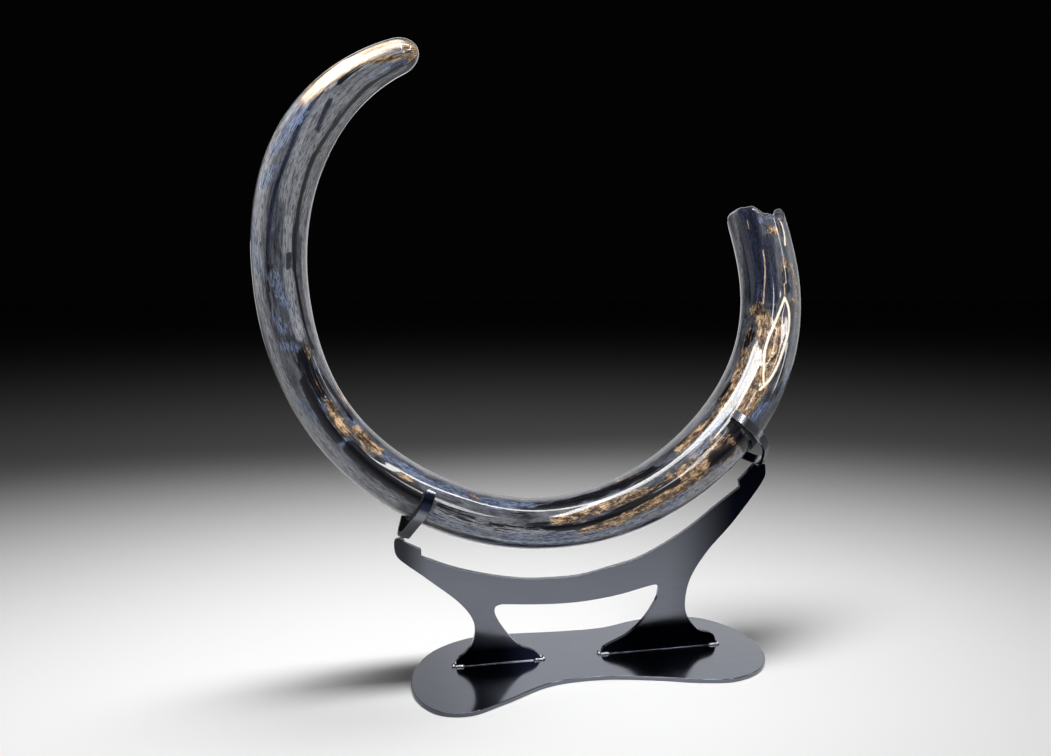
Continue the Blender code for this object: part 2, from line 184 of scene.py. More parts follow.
def smooth_edge(keys, steps):
    """Points on a centripetal Catmull-Rom curve through the keys."""
    keys = [np.array(key, dtype=float) for key in keys]
    if len(keys) < 3:
        return [tuple(key) for key in keys]
    ends = [2 * keys[0] - keys[1]] + keys + [2 * keys[-1] - keys[-2]]
    points = []
    for p0, p1, p2, p3 in zip(ends, ends[1:], ends[2:], ends[3:]):
        t1 = np.linalg.norm(p1 - p0) ** 0.5
        t2 = t1 + np.linalg.norm(p2 - p1) ** 0.5
        t3 = t2 + np.linalg.norm(p3 - p2) ** 0.5
        for t in np.linspace(t1, t2, steps, endpoint=False):
            a1 = p0 + (p1 - p0) * t / t1
            a2 = p1 + (p2 - p1) * (t - t1) / (t2 - t1)
            a3 = p2 + (p3 - p2) * (t - t2) / (t3 - t2)
            b1 = a1 + (a2 - a1) * t / t2
            b2 = a2 + (a3 - a2) * (t - t1) / (t3 - t1)
            points.append(tuple(b1 + (b2 - b1) * (t - t1) / (t2 - t1)))
    points.append(tuple(keys[-1]))
    return points


def drop_repeats(points, closest):
    kept = []
    for point in points:
        if not kept or math.dist(kept[-1], point) > closest:
            kept.append(point)
    if math.dist(kept[0], kept[-1]) <= closest:
        kept.pop()
    return kept


def extrude_outline(outline, bottom, top, axis_map):
    bm = bmesh.new()
    low = [bm.verts.new(axis_map(u, v, bottom)) for u, v in outline]
    face = bm.faces.new(low)
    extruded = bmesh.ops.extrude_face_region(bm, geom=[face])
    shift = Vector(axis_map(0, 0, top)) - Vector(axis_map(0, 0, bottom))
    moved = [item for item in extruded["geom"] if isinstance(item, bmesh.types.BMVert)]
    bmesh.ops.translate(bm, verts=moved, vec=shift)
    return bm


def close_rings(bm, rings, caps=True):
    """Quads between rings of points, with the end rings capped."""
    rings = [[bm.verts.new(point) for point in ring] for ring in rings]
    count = len(rings[0])
    for a, b in zip(rings, rings[1:]):
        for i in range(count):
            j = (i + 1) % count
            bm.faces.new((a[i], a[j], b[j], b[i]))
    if caps:
        bm.faces.new(rings[0])
        bm.faces.new(rings[-1])
    return rings


def base_plate():
    keys = [np.array(key) / 1000 for key in BASE_OUTLINE_MM]
    loop = smooth_edge([keys[-1]] + keys + keys[:2], CURVE_STEPS)
    outline = loop[CURVE_STEPS:-1 - CURVE_STEPS]
    top = -DATUM_OVER_BASE
    bm = extrude_outline(outline, top - BASE_THICKNESS, top, lambda u, v, h: (u, v, h))
    plate = new_piece("base_plate_look", bm, "base_plate")
    round_edges(plate, EDGE_ROUND, EDGE_SEGMENTS)
    return plate


def weld_run(bm, start, end, half_width, height, ripple, steps):
    """A low ridge of weld metal with its ripples, lying on the base plate's top."""
    start = np.array(start)
    end = np.array(end)
    along = (end - start) / np.linalg.norm(end - start)
    side = np.cross((0, 0, 1.0), along)
    rings = []
    for k in range(steps + 1):
        f = k / steps
        taper = math.sqrt(max(0.0, 1 - abs(2 * f - 1) ** 4)) * 0.92 + 0.08
        swell = 1 + ripple * math.cos(2 * math.pi * f * steps / 5)
        centre = start + (end - start) * f
        ring = []
        for turn in np.linspace(0, math.pi, 9):
            out = half_width * taper * math.cos(turn)
            up = height * taper * swell * math.sin(turn)
            ring.append(tuple(centre + side * out + np.array((0, 0, up + 0.0001))))
        rings.append(ring)
    close_rings(bm, rings)


def upright_plate():
    outline = []
    for stretch in UPRIGHT_EDGES_MM:
        outline += smooth_edge(stretch, CURVE_STEPS)
    outline = drop_repeats([(x / 1000, z / 1000) for x, z in outline], 0.0003)
    outline = [(x, max(z, GAP - DATUM_OVER_BASE)) for x, z in outline]
    half = PLATE_THICKNESS / 2
    bm = extrude_outline(outline, -half, half, lambda u, v, depth: (u, depth, v))
    plate = new_piece("upright_plate_look", bm, "upright_plate")
    round_edges(plate, EDGE_ROUND * 0.8, EDGE_SEGMENTS)
    return plate


def foot_welds():
    """Weld metal round both ends of both feet: a bead on each face and one across the end."""
    bm = bmesh.new()
    floor = -DATUM_OVER_BASE + GAP
    half = PLATE_THICKNESS / 2
    inner_left, outer_left, inner_right, outer_right = FOOT_ENDS_X
    for inner, outer in ((inner_left, outer_left), (inner_right, outer_right)):
        for x, way in ((inner, 1), (outer, -1)):
            past = x - way * FOOT_WELD_PAST_END
            for y in (-half - FOOT_WELD_OFF_FACE, half + FOOT_WELD_OFF_FACE):
                weld_run(bm, (past, y, floor), (x + way * FOOT_WELD_ALONG, y, floor),
                         0.0034, 0.0042, FOOT_WELD_RIPPLE, 30)
            across = half + FOOT_WELD_ROUND_CORNER
            weld_run(bm, (past, -across, floor), (past, across, floor),
                     0.0036, 0.0046, FOOT_WELD_RIPPLE, 20)
    return new_piece("foot_welds", bm, "upright_plate", 60.0)


def key_curve(keys, position):
    """Catmull-Rom through evenly spaced keys, read at position from 0 to 1."""
    keys = np.asarray(keys)
    count = len(keys) - 1
    scaled = np.clip(position, 0, 1) * count
    k = np.minimum(scaled.astype(int), count - 1)
    f = scaled - k
    ends = np.r_[2 * keys[0] - keys[1], keys, 2 * keys[-1] - keys[-2]]
    p0, p1, p2, p3 = ends[k], ends[k + 1], ends[k + 2], ends[k + 3]
    return 0.5 * (2 * p1 + (p2 - p0) * f + (2 * p0 - 5 * p1 + 4 * p2 - p3) * f**2
                  + (3 * p1 - p0 - 3 * p2 + p3) * f**3)


class TuskAxis:
    """The curl's centre line, its outward and front directions, and its radius."""

    def __init__(self):
        self.s = np.linspace(0, TUSK_LENGTH, AXIS_STEPS + 1)
        step = np.diff(self.s)
        curvature = key_curve(TUSK_CURVATURE, self.s / TUSK_LENGTH)
        turned = np.r_[0, np.cumsum((curvature[1:] + curvature[:-1]) / 2 * step)]
        heading = math.radians(TUSK_START_HEADING_DEG) - turned
        middle = (heading[1:] + heading[:-1]) / 2
        x = TUSK_START[0] + np.r_[0, np.cumsum(np.cos(middle) * step)]
        z = TUSK_START[1] + np.r_[0, np.cumsum(np.sin(middle) * step)]
        y = key_curve(TUSK_SIDEWAYS, self.s / TUSK_LENGTH)
        self.centre = np.c_[x, y, z]
        tangent = np.gradient(self.centre, axis=0)
        tangent /= np.linalg.norm(tangent, axis=1)[:, None]
        self.outward = np.c_[-np.sin(heading), np.zeros_like(x), np.cos(heading)]
        self.front = np.cross(self.outward, tangent)
        self.front /= np.linalg.norm(self.front, axis=1)[:, None]
        if self.front[0, 1] > 0:
            self.front = -self.front

    def read(self, table, s):
        return np.stack([np.interp(s, self.s, table[:, i]) for i in range(3)], axis=-1)

    def radius(self, s):
        plain = key_curve(TUSK_RADIUS, s / TUSK_LENGTH)
        into_tip = np.clip((s - TIP_AT + TIP_ROUND) / TIP_ROUND, 0, 1)
        return plain * np.sqrt(np.maximum(1 - into_tip**TIP_POWER, 1e-6))

    def point(self, s, angle, radius):
        side = np.cos(angle)[:, None] * self.read(self.outward, s)
        side = side + np.sin(angle)[:, None] * self.read(self.front, s)
        return self.read(self.centre, s) + radius[:, None] * side


def flute_depth(s, angle):
    depth = np.zeros_like(s)
    for start_deg, twist_deg, most, begin, end in FLUTES:
        middle = np.radians(start_deg + twist_deg * (s - max(begin, 0.0)))
        off = np.angle(np.exp(1j * (angle - middle))) / math.radians(FLUTE_WIDTH_DEG)
        fade = np.clip((s - begin) / FLUTE_FADE, 0, 1) * np.clip((end - s) / FLUTE_FADE, 0, 1)
        depth += most * fade * np.exp(-(off**2))
    return depth


def rim_dip(angle):
    degrees = np.degrees(angle) % 360
    keys = np.array(RIM_DIP + RIM_DIP[:1])
    step = 360 / len(RIM_DIP)
    k = (degrees / step).astype(int)
    f = degrees / step - k
    ease = f * f * (3 - 2 * f)
    return keys[k] * (1 - ease) + keys[k + 1] * ease


def tusk_rings(axis):
    """Rings of points from the bottom of the pulp cavity, over the rim, to the tip, each
    with its distance along the tusk and whether it is outside."""
    angle = np.linspace(0, 2 * math.pi, TUSK_SIDES, endpoint=False)
    flat = np.ones_like(angle)
    dip = rim_dip(angle)
    rings = []
    mouth = axis.radius(flat * RIM_ROUND) - RIM_WALL
    for part in np.linspace(0.99, 0.03, 22):
        depth = RIM_ROUND + part * (CAVITY_DEPTH - RIM_ROUND)
        s = depth + dip * max(0.0, 1 - depth / RIM_FADE)
        rings.append((axis.point(s, angle, mouth * (1 - part) ** 0.75), s, 0.0))
    for turn_deg in np.linspace(180, 12, 15):
        turn = math.radians(turn_deg)
        s = dip + RIM_ROUND * (1 - math.sin(turn))
        inward = RIM_WALL / 2 * (1 - math.cos(turn))
        radius = axis.radius(s) - flute_depth(s, angle) - inward
        rings.append((axis.point(s, angle, radius), s, min(1.0, (180 - turn_deg) / 45)))
    shaft = np.r_[np.linspace(RIM_ROUND, ROOT_LENGTH, ROOT_RINGS, endpoint=False),
                  np.linspace(ROOT_LENGTH, TIP_AT - TIP_ROUND, TUSK_RINGS - ROOT_RINGS)]
    tip = TIP_AT - TIP_ROUND * (1 - np.sin(np.radians(np.linspace(6, 88, 16))))
    for distance in np.r_[shaft, tip]:
        s = distance + dip * max(0.0, 1 - distance / RIM_FADE)
        ridge = RIDGE_HEIGHT * paint_mask("pale", s, angle)
        radius = axis.radius(s) - flute_depth(s, angle) + ridge
        rings.append((axis.point(s, angle, radius), s, 1.0))
    return angle, rings


def tusk():
    axis = TuskAxis()
    angle, rings = tusk_rings(axis)
    bm = bmesh.new()
    made = close_rings(bm, [ring for ring, _, _ in rings], caps=False)
    bottom = bm.verts.new(axis.read(axis.centre, np.array([CAVITY_DEPTH]))[0])
    tip = bm.verts.new(axis.read(axis.centre, np.array([TIP_AT]))[0])
    for pole, ring in ((bottom, made[0]), (tip, made[-1])):
        for i in range(TUSK_SIDES):
            bm.faces.new((pole, ring[i], ring[(i + 1) % TUSK_SIDES]))
    piece = new_piece("tusk_look", bm, "tusk", 180.0)
    along = np.concatenate([s for _, s, _ in rings] + [[CAVITY_DEPTH, TIP_AT]])
    around = np.concatenate([angle for _ in rings] + [[0.0, 0.0]])
    outside = np.concatenate([np.full(TUSK_SIDES, o) for _, _, o in rings] + [[0.0, 1.0]])
    add_tusk_coordinates(piece.data, along, around, outside)
    return piece


def put_attribute(mesh, name, kind, values):
    layer = mesh.attributes.new(name, kind, "POINT")
    field = "vector" if kind == "FLOAT_VECTOR" else "value"
    layer.data.foreach_set(field, np.ascontiguousarray(values, dtype=np.float32).ravel())


def add_tusk_coordinates(mesh, along, around, outside):
    """For the ivory: where each vertex lies as if the tusk were a straight rod along Z,
    whether it is outside the pulp cavity, and one mask for each paint."""
    straight = np.c_[MEAN_RADIUS * np.cos(around), MEAN_RADIUS * np.sin(around), along]
    put_attribute(mesh, "straight", "FLOAT_VECTOR", straight)
    put_attribute(mesh, "outside", "FLOAT", outside)
    for name in PAINT:
        put_attribute(mesh, name, "FLOAT", paint_mask(name, along, around))


# Stains and lines on the ivory, with painted light among them: the light strokes are lighter
# patches, mostly painted reflection; the pale lines carry a painted highlight along raised
# ridges; the cream strokes are paler ivory at the tip under a painted highlight; the dark strokes
# beside the cradles are painted shadow and dark reflection of the bars. Each stroke: half width
# in millimetres, strength, then its points as distance along the tusk and angle round it in
# degrees. Most strokes on the front were picked by eye in the photograph and turned into these
# coordinates by a separate program; the others, and all those on the back, were set by hand.
PAINT = {
    "tan": (
        (10.2, 0.9, (1.94, 20), (2.00, 24)),
        (8.2, 1, (2.10, 52), (2.10, 140)),
        (7.6, 1, (2.04, 84), (2.07, 102), (2.10, 110)),
        (4.6, 1, (1.89, 132), (1.88, 152)),
        (5.0, 0.8, (2.02, 192), (1.96, 188), (1.89, 172)),
        (5.3, 0.6, (1.89, 14), (1.83, 34)),
        (2.4, 0.5, (1.60, 118), (1.58, 110)),
        (8.4, 0.9, (1.54, 118), (1.52, 124)),
        (6.1, 0.9, (1.47, 118), (1.44, 118)),
        (9.6, 1, (1.42, 116), (1.39, 114), (1.36, 108)),
        (8.1, 0.8, (1.43, 160), (1.39, 168)),
        (3.6, 1, (1.35, 126), (1.31, 118)),
        (4.8, 1, (1.23, 119), (1.20, 122)),
        (9.9, 1, (1.35, 136), (1.32, 134), (1.29, 132)),
        (5.3, 0.8, (1.08, 146), (1.06, 146)),
        (8.2, 1, (0.90, 110), (0.85, 119), (0.79, 124), (0.73, 118), (0.67, 106)),
        (9.4, 1, (0.85, 86), (0.79, 88), (0.74, 90), (0.65, 86)),
        (16.6, 1.1, (0.67, 102), (0.60, 98), (0.53, 96)),
        (6.6, 1, (0.61, 154), (0.54, 150), (0.46, 142)),
        (8.0, 0.6, (0.79, 176), (0.71, 160)),
        (9.6, 1, (0.47, 110), (0.43, 110)),
        (11.5, 1.1, (0.24, 144), (0.28, 130), (0.32, 122)),
        (8.8, 0.8, (0.29, 156), (0.36, 158)),
        (7.9, 1, (0.38, 152), (0.43, 150), (0.47, 150)),
        (9.6, 1.1, (0.33, 126), (0.41, 122), (0.47, 112)),
        (7.3, 0.9, (0.07, 94), (0.08, 84)),
        (7.0, 1, (0.02, 66), (0.05, 60)),
        (9.0, 0.9, (0.26, 95), (0.33, 101), (0.38, 99)),
        (5.7, 0.9, (0.14, 82), (0.16, 84)),
        (8.1, 0.7, (0.15, 62), (0.18, 56), (0.22, 46)),
        (7.2, 0.8, (0.22, 66), (0.24, 66)),
        (9.0, 1.2, (0.33, 108), (0.40, 104), (0.46, 106)),
        (6.2, 0.8, (0.46, 102), (0.44, 96)),
        (14.0, 0.9, (0.20, 230), (0.34, 244), (0.50, 238)),
        (10.0, 0.8, (0.70, 275), (0.86, 262)),
        (12.0, 0.8, (1.22, 232), (1.40, 242)),
        (8.0, 0.8, (1.74, 262), (1.90, 270)),
        (15.0, 0.8, (0.10, 266), (0.22, 272), (0.32, 264)),
        (14.0, 0.75, (0.46, 300), (0.62, 312)),
        (12.0, 0.75, (1.02, 214), (1.16, 220)),
        (14.0, 0.75, (1.46, 300), (1.60, 308)),
        (12.0, 0.8, (1.98, 200), (2.08, 232)),
        (11.0, 0.75, (0.60, 346), (0.76, 352)),
        (10.0, 0.75, (1.24, 352), (1.36, 346)),
    ),
    "blue": (
        (9.2, 0.8, (1.85, 48), (1.89, 59), (1.92, 70)),
        (7.0, 0.9, (1.80, 50), (1.83, 62)),
        (9.2, 1, (2.06, 118), (2.09, 134)),
        (4.9, 0.8, (2.03, 122), (2.06, 126)),
        (3.1, 0.7, (1.75, 88), (1.74, 88)),
        (11.0, 0.9, (1.74, 32), (1.70, 38), (1.67, 52)),
        (8.2, 1, (1.67, 86), (1.65, 92), (1.62, 100)),
        (9.8, 0.9, (1.60, 72), (1.58, 82)),
        (7.4, 1, (1.55, 70), (1.54, 100)),
        (9.1, 0.7, (1.51, 54), (1.49, 76)),
        (11.5, 1, (1.45, 64), (1.42, 74)),
        (6.7, 1, (1.47, 94), (1.42, 104)),
        (3.9, 0.8, (1.49, 128), (1.48, 132)),
        (5.3, 1, (1.37, 138), (1.34, 148)),
        (5.7, 1, (1.29, 132), (1.24, 140)),
        (8.3, 1, (1.23, 142), (1.14, 138)),
        (10.6, 1, (1.14, 148), (1.08, 144)),
        (10.2, 1.1, (1.05, 144), (1.00, 148), (0.95, 148)),
        (9.1, 0.8, (1.14, 70), (1.08, 72), (1.01, 70)),
        (14.0, 1.1, (0.99, 72), (0.94, 68), (0.87, 68)),
        (9.9, 0.8, (0.87, 68), (0.80, 68), (0.74, 68)),
        (11.4, 1, (1.36, 92), (1.31, 94)),
        (8.3, 1, (0.70, 76), (0.65, 74)),
        (10.0, 1, (0.58, 84), (0.54, 76)),
        (6.2, 1, (0.58, 122), (0.54, 124), (0.49, 126)),
        (8.8, 1, (0.46, 86), (0.43, 74), (0.40, 59)),
        (12.2, 1, (0.40, 56), (0.35, 54)),
        (4.0, 0.8, (0.05, 106), (0.05, 74)),
        (4.8, 0.8, (0.11, 82), (0.13, 84)),
        (4.6, 0.6, (0.35, 116), (0.37, 104)),
        (12.0, 0.9, (0.60, 210), (0.74, 216)),
        (10.0, 0.9, (0.98, 280), (1.12, 272)),
        (12.0, 0.9, (1.52, 216), (1.64, 224)),
        (10.0, 0.8, (0.10, 300), (0.24, 296)),
        (14.0, 0.85, (0.36, 290), (0.52, 280)),
        (12.0, 0.85, (0.24, 340), (0.42, 352)),
        (13.0, 0.85, (1.24, 302), (1.38, 292)),
        (12.0, 0.85, (1.70, 240), (1.86, 236)),
        (12.0, 0.8, (0.86, 330), (1.02, 342)),
    ),
    # Dark strokes: cracks and streaks; those beside the cradles, near 0.5 m and from 0.9 to 1.3 m
    # along the tusk, are painted shadow and dark reflection of the bars.
    "dark": (
        (8.2, 0.7, (2.03, 76), (2.01, 80), (1.99, 84)),
        (3.0, 1, (2.08, 138), (2.05, 138), (2.01, 136)),
        (2.8, 1.1, (2.01, 136), (1.95, 140), (1.87, 132), (1.81, 132), (1.75, 130)),
        (2.4, 1.1, (1.74, 128), (1.67, 130), (1.62, 134), (1.57, 136), (1.53, 138)),
        (4.4, 0.5, (1.68, 74), (1.63, 70), (1.58, 68)),
        (14.0, 0.7, (1.52, 108), (1.49, 110), (1.45, 110)),
        (6.6, 1.1, (1.48, 90), (1.44, 90), (1.41, 88), (1.36, 90)),
        (3.5, 0.8, (1.47, 136), (1.42, 146), (1.37, 142)),
        (10.9, 1.2, (1.33, 94), (1.28, 96), (1.24, 96), (1.17, 98)),
        (10.5, 0.55, (1.13, 96), (1.09, 98), (1.04, 98), (0.92, 100)),
        (4.2, 1.2, (0.92, 96), (0.85, 94), (0.78, 102), (0.74, 106), (0.65, 104)),
        (6.2, 0.7, (0.97, 132), (0.89, 150)),
        (8.3, 0.85, (0.93, 142), (0.79, 156), (0.68, 148)),
        (10.7, 1, (0.57, 94), (0.54, 84)),
        (8.1, 1.3, (0.50, 114), (0.51, 80), (0.50, 29)),
        (4.9, 0.7, (0.24, 114), (0.26, 114)),
        (6.8, 0.7, (0.30, 152), (0.33, 156)),
        (5.8, 0.7, (0.43, 164), (0.47, 166)),
        (7.6, 0.6, (0.32, 82), (0.40, 64)),
        (4.8, 0.7, (0.16, 84), (0.20, 84)),
        (3.8, 0.6, (0.71, 144), (0.62, 136)),
        (6.0, 1, (0.30, 300), (0.62, 306)),
        (5.0, 1, (0.84, 226), (1.16, 232)),
        (5.0, 0.55, (1.40, 268), (1.58, 258), (1.74, 264), (1.90, 254)),
    ),
    "navy": (
        (3.0, 0.9, (1.96, 72), (1.93, 74), (1.86, 84), (1.80, 80), (1.73, 76), (1.69, 74)),
        (4.4, 1, (1.70, 118), (1.68, 116)),
        (3.9, 1, (1.75, 130), (1.69, 130)),
        (14.8, 1, (0.03, 134), (0.07, 136), (0.14, 140), (0.21, 144)),
        (7.6, 1, (0.09, 104), (0.14, 110), (0.22, 114)),
        (8.4, 1, (1.10, 16), (1.05, 38), (1.00, 40), (0.89, 38), (0.80, 28), (0.72, 44)),
        (4.6, 0.7, (1.96, 98), (1.91, 114)),
        (7.4, 0.8, (2.10, 142), (2.07, 128)),
        (16.0, 0.9, (0.02, 200), (0.20, 206)),
        (12.0, 0.5, (1.66, 300), (1.80, 302)),
    ),
    # Pale lines: a painted highlight along thin ridges, which the shape raises under them.
    "pale": (
        (2.0, 1, (0.214, 91), (0.246, 102), (0.279, 111), (0.324, 119), (0.360, 115),
         (0.391, 106), (0.405, 98)),
        (2.0, 1, (0.214, 91), (0.232, 84), (0.254, 81), (0.279, 81), (0.313, 85), (0.356, 89),
         (0.388, 94), (0.415, 103)),
        (1.1, 0.8, (0.111, 119), (0.148, 122), (0.204, 130), (0.229, 132)),
        (1.8, 1, (0.045, 70), (0.067, 64), (0.087, 66), (0.108, 72)),
        (1.0, 0.7, (0.040, 133), (0.059, 135)),
        (1.0, 0.7, (0.331, 98), (0.347, 105)),
        (1.2, 0.7, (0.185, 90), (0.214, 91)),
    ),
    # Cream at the tip: paler ivory with a painted highlight over it.
    "cream_and_highlight": (
        (9.0, 0.8, (1.935, 52), (1.961, 60), (1.979, 62)),
        (10.5, 1.1, (1.979, 58), (2.001, 62), (2.027, 65), (2.054, 66), (2.082, 66)),
        (8.5, 0.9, (1.935, 46), (1.982, 45), (2.015, 46), (2.060, 46), (2.085, 50)),
    ),
    # Lighter patches: mostly painted reflection.
    "light": (
        (12.1, 0.8, (1.13, 64), (1.06, 70), (1.00, 74), (0.89, 72), (0.80, 64), (0.73, 66),
         (0.62, 64), (0.52, 56)),
        (7.8, 0.7, (0.60, 124), (0.53, 132), (0.46, 126)),
        (10.0, 0.6, (0.02, 156), (0.06, 166), (0.16, 184), (0.28, 194), (0.39, 198), (0.49, 204)),
        (13.7, 0.7, (1.93, 40), (1.88, 32), (1.81, 44), (1.72, 46), (1.63, 44), (1.53, 44),
         (1.43, 50), (1.33, 54), (1.21, 56)),
        (8.0, 0.9, (2.02, 158), (1.93, 160), (1.84, 162), (1.74, 174), (1.57, 176), (1.48, 178),
         (1.36, 180)),
        (12.0, 0.75, (1.96, 100), (1.88, 104), (1.80, 102)),
        (11.0, 0.9, (2.08, 112), (2.03, 112), (1.97, 110)),
        (9.0, 0.8, (1.13, 84), (1.00, 86), (0.86, 82)),
        (12.5, 0.9, (2.00, 68), (1.98, 64), (1.94, 59)),
        (12.2, 0.9, (2.08, 90), (2.04, 80), (2.00, 72)),
        (7.0, 1.0, (2.06, 124), (2.00, 120), (1.94, 122), (1.86, 118), (1.76, 114), (1.66, 116),
         (1.56, 118)),
        (6.0, 1.0, (1.74, 156), (1.66, 158), (1.58, 160), (1.48, 164), (1.40, 168)),
        (6.0, 1.0, (2.08, 146), (2.02, 144), (1.96, 148), (1.88, 146), (1.80, 146), (1.74, 148)),
        (7.0, 1.0, (1.00, 60), (0.93, 58), (0.86, 58), (0.80, 60), (0.74, 62)),
        (6.0, 0.8, (1.10, 70), (1.04, 74), (0.98, 72)),
        (14.0, 0.7, (0.70, 320), (1.10, 322), (1.50, 318)),
    ),
}


def stroke_distance(points, along, around):
    """How far each vertex lies from a stroke, in metres on the straightened surface."""
    nearest = np.full_like(along, 1e9)
    points = smooth_edge([(s, MEAN_RADIUS * math.radians(angle)) for s, angle in points], 3)
    for (s0, side0), (s1, side1) in zip(points, points[1:]):
        run = s1 - s0
        turn = side1 - side0
        ahead = along - s0
        aside = MEAN_RADIUS * np.angle(np.exp(1j * (around - side0 / MEAN_RADIUS)))
        part = np.clip((ahead * run + aside * turn) / (run * run + turn * turn), 0, 1)
        nearest = np.minimum(nearest, np.hypot(ahead - part * run, aside - part * turn))
    return nearest


def paint_mask(name, along, around):
    """A smooth mask for one paint, full inside its strokes and fading at their edges."""
    mask = np.zeros_like(along)
    for half_width_mm, strength, *points in PAINT[name]:
        half_width = half_width_mm / 1000
        reach = 3.5 * half_width
        ends = [s for s, _ in points]
        near = np.flatnonzero((along > min(ends) - reach) & (along < max(ends) + reach))
        if len(near):
            off = stroke_distance(points, along[near], around[near]) / half_width
            mask[near] = np.maximum(mask[near], strength * np.exp(-0.5 * off**2))
    return mask


class CradleFrame:
    """Directions of one cradle: up its cup's axis, out to the front arm, along the bar's width."""

    def __init__(self, c):
        lean = math.radians(c["lean"])
        turn = math.radians(c["turn"])
        self.foot = np.array((c["x"], 0.0, c["z"]))
        self.up = np.array((math.cos(lean), 0.0, math.sin(lean)))
        flat = np.array((self.up[2], 0.0, -self.up[0]))
        front = np.array((0.0, -1.0, 0.0))
        self.arm = front * math.cos(turn) + flat * math.sin(turn)
        self.width = flat * math.cos(turn) - front * math.sin(turn)

    def point(self, out, rise, along):
        return self.foot + out * self.arm + rise * self.up + along * self.width


def bar_profile(c, off):
    """Half of the bent bar, from its lowest point to the end of one arm, off from its middle."""
    low = c["lift"] + BAR_THICKNESS / 2 + c["bend"]
    cup = c["reach"] - c["straight"]
    slope = math.degrees(math.asin((c["cup"] - c["bend"]) / (cup - low)))
    points = arc((0, low), c["bend"] - off, -90, -slope, 24)
    points += arc((0, cup), c["cup"] - off, -slope, 0, 24)
    points += arc((0, c["reach"]), c["cup"] - off, 0, c["rise"] - 4.5, 16)
    points += arc((0, c["reach"]), c["cup"] - off, c["rise"] - 4.4, c["rise"], 14)
    return drop_repeats(points, 0.00005)


def cradle(side, c):
    frame = CradleFrame(c)
    inner = bar_profile(c, BAR_THICKNESS / 2)
    outer = bar_profile(c, -BAR_THICKNESS / 2)
    half = list(zip(inner, outer))
    to_end = [math.dist(inner[i], inner[-1]) for i in range(len(inner))]
    rounds = [BAR_CORNER - min(d, BAR_CORNER) for d in to_end]
    trims = [BAR_CORNER - math.sqrt(max(BAR_CORNER**2 - r * r, 0.0)) for r in rounds]
    stations = [(pair, trim, -1) for pair, trim in zip(half[:0:-1], trims[:0:-1])]
    stations += [(pair, trim, 1) for pair, trim in zip(half, trims)]
    rings = []
    for (near, far), trim, way in stations:
        w = BAR_WIDTH / 2 - trim
        corners = ((near, -w), (near, w), (far, w), (far, -w))
        rings.append([frame.point(way * p[0], p[1], t) for p, t in corners])
    bm = bmesh.new()
    close_rings(bm, rings)
    piece = new_piece("cradle_" + side + "_look", bm, "cradle_" + side)
    middle = len(stations) // 2
    up_arm = np.repeat(np.abs(np.arange(len(stations)) - middle) / middle, 4)
    # A painted dark reflection along part of each arm, and a painted highlight at the arms' ends.
    first, last = PAINTED_DARK_REFLECTION_SPAN[side]
    painted_dark_reflection = np.clip((up_arm - first) / 0.10, 0, 1) * np.clip((last - up_arm) / 0.10, 0, 1)
    put_attribute(piece.data, "painted_dark_reflection", "FLOAT", painted_dark_reflection)
    put_attribute(piece.data, "painted_end_highlight", "FLOAT", np.clip((up_arm - 0.90) / 0.08, 0, 1))
    round_edges(piece, 0.0006, EDGE_SEGMENTS)
    return piece


def pin(side, c):
    """A short round pin with a rippled fillet of weld round its foot."""
    frame = CradleFrame(c)
    top = c["lift"] - GAP
    weld_top = min(PIN_WELD_HEIGHT, top - 0.0004)
    profile = [(PIN_WELD_RADIUS, GAP)]
    for f in np.linspace(0.1, 1, 8):
        out = PIN_RADIUS + (PIN_WELD_RADIUS - PIN_RADIUS) * (1 - f) ** 1.4
        profile.append((out, GAP + (weld_top - GAP) * f))
    profile.append((PIN_RADIUS, top))
    turns = np.linspace(0, 2 * math.pi, 96, endpoint=False)
    rings = []
    for k, (radius, height) in enumerate(profile):
        ripple = 0.00012 * math.sin(math.pi * min(k, 9) / 9)
        radii = radius - ripple * (1 + np.cos(16 * turns))
        rings.append([frame.point(r * math.cos(a), height, r * math.sin(a))
                      for r, a in zip(radii, turns)])
    bm = bmesh.new()
    close_rings(bm, rings)
    return new_piece("pin_" + side + "_look", bm, "pin_" + side)


def pad(side, c, axis):
    """The liner between bar and tusk: its inner face follows the tusk, its edges are soft."""
    frame = CradleFrame(c)
    local = axis.centre - frame.foot
    near = np.abs(local @ frame.up - c["reach"]) < c["cup"] / 2
    order = np.argsort((local @ frame.width)[near])
    along_axis = (local @ frame.width)[near][order]
    out_axis = (local @ frame.arm)[near][order]
    rise_axis = (local @ frame.up)[near][order]
    s_axis = axis.s[near][order]
    half = PAD_WIDTH / 2
    tilt = abs(np.interp(half, along_axis, s_axis) - np.interp(-half, along_axis, s_axis)) / PAD_WIDTH
    most = math.radians(90 + c["rise"] - PAD_SHORT_OF_ARM_DEG)
    rings = []
    for swing in np.linspace(-most, most, 120):
        direction = np.array((math.sin(swing), -math.cos(swing)))
        end_taper = min(1.0, (most - abs(swing)) / 0.03 + 0.35)
        inner = []
        outer = []
        for along in np.linspace(-half, half, 11):
            middle = np.array((np.interp(along, along_axis, out_axis),
                               np.interp(along, along_axis, rise_axis) - c["reach"]))
            s = np.array([np.interp(along, along_axis, s_axis)])
            reach = float(axis.radius(s)[0]) * tilt + c["pad_gap"]
            ahead = float(middle @ direction)
            radius = ahead + math.sqrt(reach**2 - float(middle @ middle) + ahead**2)
            edge = math.sqrt(max(0.0, 1 - (along / half) ** 8))
            thick = PAD_THICKNESS * end_taper * (0.35 + 0.65 * edge)
            inner.append((radius, along))
            outer.append((radius + thick, along))
        rings.append([frame.point(r * direction[0], c["reach"] + r * direction[1], along)
                      for r, along in inner + outer[::-1]])
    bm = bmesh.new()
    close_rings(bm, rings)
    piece = new_piece("pad_" + side + "_look", bm, "pad_" + side, 50.0)
    return piece


# ------------------------------------------------------------- materials

